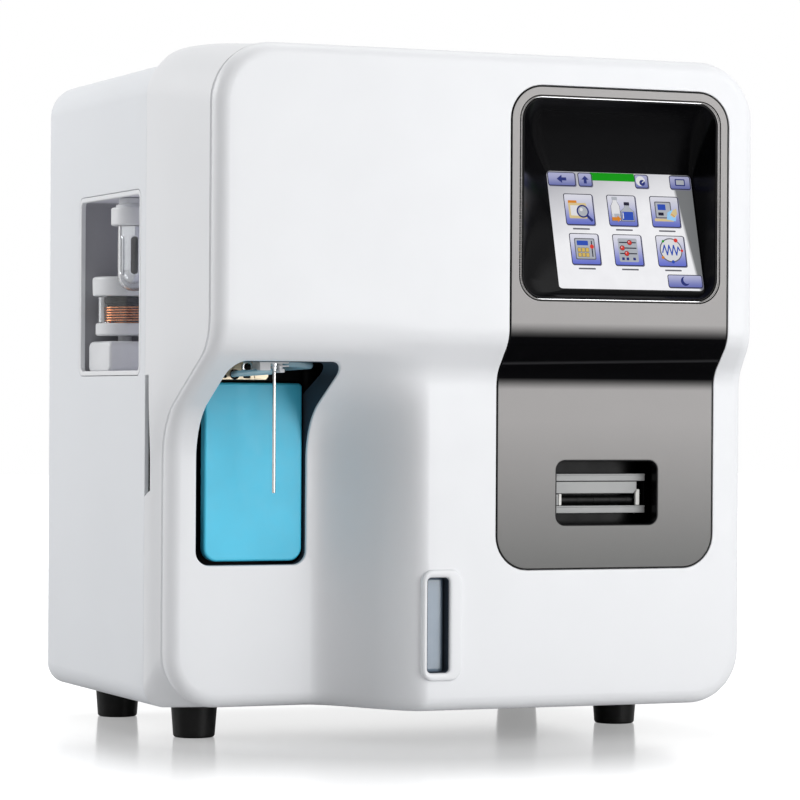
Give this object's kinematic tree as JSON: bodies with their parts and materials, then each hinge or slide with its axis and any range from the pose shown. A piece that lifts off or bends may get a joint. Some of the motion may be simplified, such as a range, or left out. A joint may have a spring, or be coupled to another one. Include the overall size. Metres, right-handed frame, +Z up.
{
  "type": "hematology analyzer",
  "caption": "Bench-top blood analyser with a side-hung folded front cover, leaning touch screen, sampling needle over a start plate, receipt printer, status lamp and side window.",
  "frame": {"origin": "on the bench, under the middle of the machine's outer box", "axes": "+Z up, +X to the right seen from the front, +Y to the rear; the front cover faces -Y"},
  "size_m": [0.42, 0.355, 0.4855],
  "materials": {
    "foot_rubber": "matt black moulded rubber",
    "sheet_steel": "zinc-plated folded sheet",
    "rear_steel": "light grey powder coat",
    "side_white": "smooth semi-matt white powder coat",
    "cover_white": "satin white moulding",
    "panel_grey": "metallic grey, clear-coated",
    "gloss_black": "polished black",
    "screen_face": "lit display under clear film",
    "board_green": "green solder mask",
    "lamp_lens": "smoked blue-grey lens, unlit",
    "niche_grey": "matt grey",
    "milk_plastic": "milky white moulding",
    "clear_bowl": "clear polycarbonate",
    "copper_wire": "bare copper",
    "black_plastic": "black moulding",
    "zinc_bracket": "yellow-passivated steel",
    "bright_alloy": "mill aluminium",
    "dark_alloy": "black anodised",
    "needle_steel": "polished stainless tube",
    "hose_clear": "translucent bluish tube",
    "cyan_plastic": "satin cyan moulding",
    "printer_grey": "grey moulding",
    "roller_rubber": "ground rubber",
    "paper_white": "thermal paper",
    "valve_brass": "turned brass"
  },
  "bodies": {
    "chassis": {"foot_front_left": "foot_rubber", "foot_front_right": "foot_rubber", "foot_rear_left": "foot_rubber", "foot_rear_right": "foot_rubber", "base_tray": "sheet_steel", "wrap_cover": "side_white", "rear_panel": "rear_steel", "front_frame": "sheet_steel", "window_liner": "niche_grey", "trap_cap": "milk_plastic", "trap_bowl": "clear_bowl", "trap_core": "black_plastic", "regulator_block": "milk_plastic", "filter_base": "milk_plastic", "filter_jar": "clear_bowl", "filter_coil": "copper_wire", "filter_lid": "milk_plastic", "hinge_pin_lower": "sheet_steel", "hinge_pin_upper": "sheet_steel", "catch_magnet": "black_plastic", "probe_bracket": "zinc_bracket", "lift_cylinder": "bright_alloy", "rinse_cup": "milk_plastic", "rinse_hose_left": "hose_clear", "rinse_hose_right": "hose_clear", "start_plate_mount": "black_plastic", "start_switch": "black_plastic", "printer_shelf": "sheet_steel", "printer_body": "black_plastic", "printer_faceplate": "printer_grey", "paper_spindle": "black_plastic", "valve_stator": "milk_plastic", "valve_motor": "dark_alloy", "detector_block": "bright_alloy", "mixing_chamber": "clear_bowl", "solenoid_bank": "black_plastic", "main_board": "board_green", "power_supply": "bright_alloy", "air_pump": "black_plastic", "fan_frame": "black_plastic", "power_inlet": "black_plastic", "reagent_ports": "milk_plastic"},
    "front_door": {"front_cover": "cover_white", "control_panel": "panel_grey", "screen_bezel": "gloss_black", "touch_screen": "screen_face", "display_board": "board_green", "status_lamp_frame": "cover_white", "status_lamp_lens": "lamp_lens", "hinge_leaf_lower": "sheet_steel", "hinge_leaf_upper": "sheet_steel", "catch_plate": "sheet_steel"},
    "probe": {"needle_carriage": "dark_alloy", "needle": "needle_steel"},
    "start_button": {"start_plate": "cyan_plastic"},
    "paper": {"paper_roll": "paper_white"},
    "platen": {"platen_roller": "roller_rubber"},
    "valve": {"valve_rotor": "valve_brass"},
    "fan": {"fan_impeller": "black_plastic"},
    "rocker": {"power_rocker": "black_plastic"}
  },
  "joints": [
    {"name": "door_hinge", "type": "hinge", "parent": "chassis", "child": "front_door", "pos_m": [0.206, -0.0537, 0.25], "axis": [0, 0, 1], "range_deg": [0, 90]},
    {"name": "probe_lift", "type": "slide", "parent": "chassis", "child": "probe", "axis": [0, 0, 1], "range_m": [0, 0.085]},
    {"name": "start_press", "type": "slide", "parent": "chassis", "child": "start_button", "axis": [0, 1, 0], "range_m": [0, 0.0035], "stiffness_N_per_m": 400, "springref_m": -0.002},
    {"name": "paper_spin", "type": "hinge", "parent": "chassis", "child": "paper", "pos_m": [0.0945, -0.0825, 0.173], "axis": [1, 0, 0], "continuous": true},
    {"name": "platen_spin", "type": "hinge", "parent": "chassis", "child": "platen", "pos_m": [0.0945, -0.118, 0.1908], "axis": [1, 0, 0], "continuous": true},
    {"name": "valve_turn", "type": "hinge", "parent": "chassis", "child": "valve", "pos_m": [0.1, -0.03, 0.19], "axis": [0, 1, 0], "range_deg": [0, 45]},
    {"name": "fan_spin", "type": "hinge", "parent": "chassis", "child": "fan", "pos_m": [-0.095, 0.157, 0.33], "axis": [0, 1, 0], "continuous": true},
    {"name": "power_switch", "type": "hinge", "parent": "chassis", "child": "rocker", "pos_m": [0.106, 0.167, 0.092], "axis": [1, 0, 0], "range_deg": [0, 12]}
  ],
  "couplings": [
    {"joint": "platen_spin", "follows": "paper_spin", "ratio": 4.3478}
  ]
}
